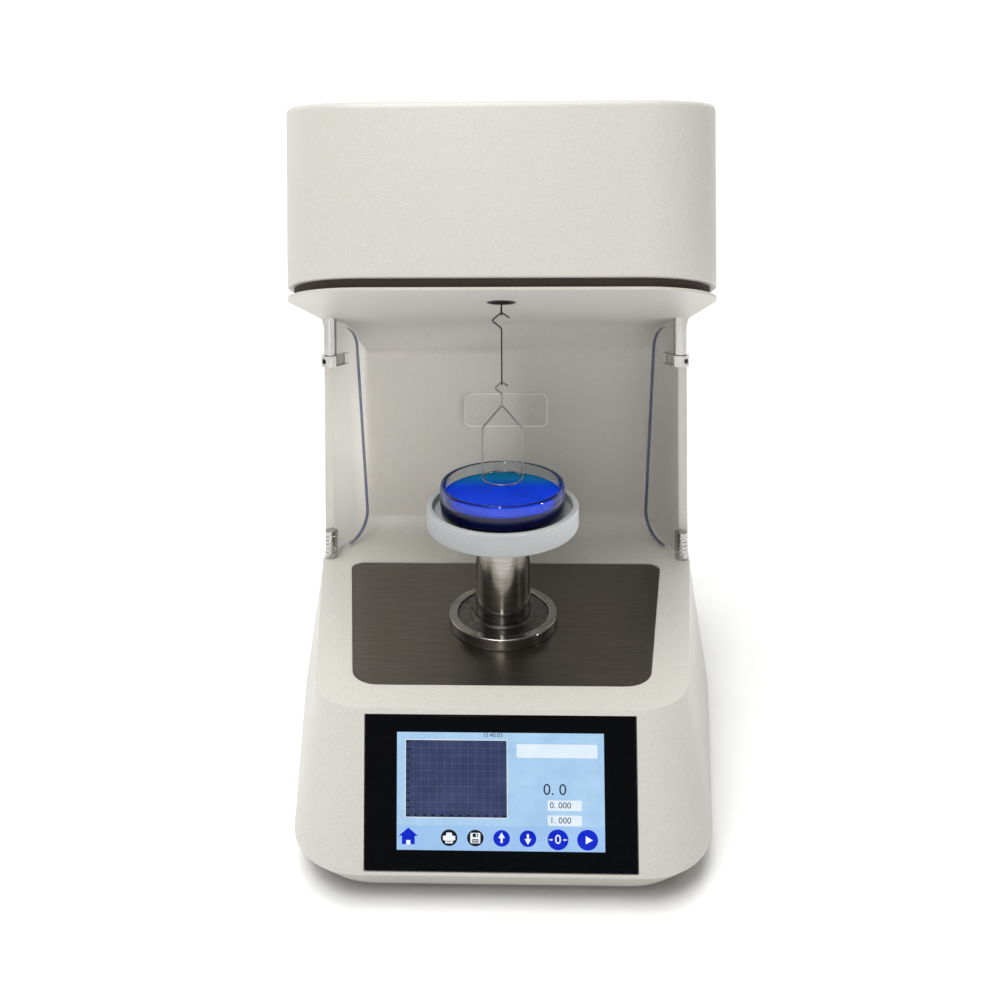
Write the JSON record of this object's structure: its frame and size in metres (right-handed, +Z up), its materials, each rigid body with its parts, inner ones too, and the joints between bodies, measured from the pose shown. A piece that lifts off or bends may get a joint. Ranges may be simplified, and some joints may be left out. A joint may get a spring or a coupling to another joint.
{
  "type": "surface tensiometer",
  "caption": "Bench surface tensiometer: ring on a hook above a dish of blue liquid on a lifting stage, tall head with chamber, and touch screen in a flared base.",
  "frame": {"origin": "centre of the footprint at table height, under the feet", "axes": "+Z up, the screen and the open chamber face -Y, +X to the viewer's right"},
  "size_m": [0.224, 0.248, 0.325],
  "materials": {
    "housing_plastic": "fine moulded satin, off-white",
    "cover_plastic": "fine moulded satin, off-white",
    "pan_plastic": "satin, warm grey",
    "foot_rubber": "matt black",
    "screw_steel": "blackened",
    "deck_steel": "brushed stainless",
    "turned_steel": "turned and polished",
    "bush_steel": "turned",
    "table_polymer": "frosted, slightly translucent",
    "dish_glass": "clear",
    "blue_liquid": "deep blue liquid",
    "screen_glass": "black glass with a lit screen",
    "module_plastic": "lit display",
    "aluminium": "milled",
    "rod_steel": "ground",
    "bronze": "bearing bronze",
    "motor_black": "black",
    "black_plastic": "black",
    "circuit_board": "circuit board",
    "supply_metal": "folded sheet",
    "port_metal": "plated",
    "dark_wire": "blackened wire",
    "platinum": "bright wire",
    "clear_acrylic": "clear, polished edges",
    "pin_steel": "turned",
    "clear_label": "clear film"
  },
  "bodies": {
    "housing": {"main_housing": "housing_plastic", "head_cover": "cover_plastic", "rear_cover": "cover_plastic", "base_pan": "pan_plastic", "rubber_feet": "foot_rubber", "pan_screws": "screw_steel", "rear_screws": "screw_steel", "deck_plate": "deck_steel", "stage_collar": "turned_steel", "guide_bush": "bush_steel", "touch_glass": "screen_glass", "display_module": "module_plastic", "display_bracket": "aluminium", "lift_frame": "aluminium", "guide_rods": "rod_steel", "screw_bearing": "bronze", "stepper_motor": "motor_black", "limit_switches": "black_plastic", "sensor_bracket": "aluminium", "load_cell": "aluminium", "amplifier_board": "circuit_board", "hook_rod": "dark_wire", "hook_grommet": "black_plastic", "label_plate": "clear_label", "control_board": "circuit_board", "board_standoffs": "bronze", "power_supply": "supply_metal", "power_inlet": "black_plastic", "switch_frame": "black_plastic", "data_port": "port_metal"},
    "stage": {"lift_post": "turned_steel", "sample_table": "table_polymer", "glass_dish": "dish_glass", "sample_liquid": "blue_liquid", "carriage": "aluminium", "lift_nut": "bronze", "rod_bushings": "bronze"},
    "drive": {"motor_shaft": "rod_steel", "shaft_coupling": "aluminium", "lead_screw": "rod_steel"},
    "left_leaf": {"left_door": "clear_acrylic", "left_upper_pin": "pin_steel", "left_clamp": "pin_steel", "clamp_screws_left": "screw_steel", "left_lower_pin": "pin_steel"},
    "right_leaf": {"right_door": "clear_acrylic", "right_upper_pin": "pin_steel", "right_clamp": "pin_steel", "clamp_screws_right": "screw_steel", "right_lower_pin": "pin_steel"},
    "hanger": {"ring_hanger": "dark_wire"},
    "ring": {"platinum_ring": "platinum"},
    "switch": {"switch_rocker": "black_plastic"}
  },
  "joints": [
    {"name": "stage_lift", "type": "slide", "parent": "housing", "child": "stage", "axis": [0, 0, 1], "range_m": [-0.018, 0.0055]},
    {"name": "screw_turn", "type": "hinge", "parent": "housing", "child": "drive", "pos_m": [0, 0.088, 0.05], "axis": [0, 0, 1], "range_deg": [-520, 1700]},
    {"name": "left_door_hinge", "type": "hinge", "parent": "housing", "child": "left_leaf", "pos_m": [-0.0978, 0.0124, 0.14], "axis": [0, 0, -1], "range_deg": [0, 140]},
    {"name": "right_door_hinge", "type": "hinge", "parent": "housing", "child": "right_leaf", "pos_m": [0.0978, 0.0124, 0.14], "axis": [0, 0, 1], "range_deg": [0, 140]},
    {"name": "hanger_swing", "type": "hinge", "parent": "housing", "child": "hanger", "pos_m": [0, -0.0525, 0.2249], "axis": [1, 0, 0], "range_deg": [-5, 5]},
    {"name": "ring_swing", "type": "hinge", "parent": "hanger", "child": "ring", "pos_m": [0, -0.0525, 0.1913], "axis": [1, 0, 0], "range_deg": [-5, 5]},
    {"name": "switch_rock", "type": "hinge", "parent": "housing", "child": "switch", "pos_m": [0.056, 0.118, 0.128], "axis": [1, 0, 0], "range_deg": [-8, 8]}
  ],
  "couplings": [
    {"joint": "screw_turn", "follows": "stage_lift", "rad_per_m": -1570.8}
  ]
}
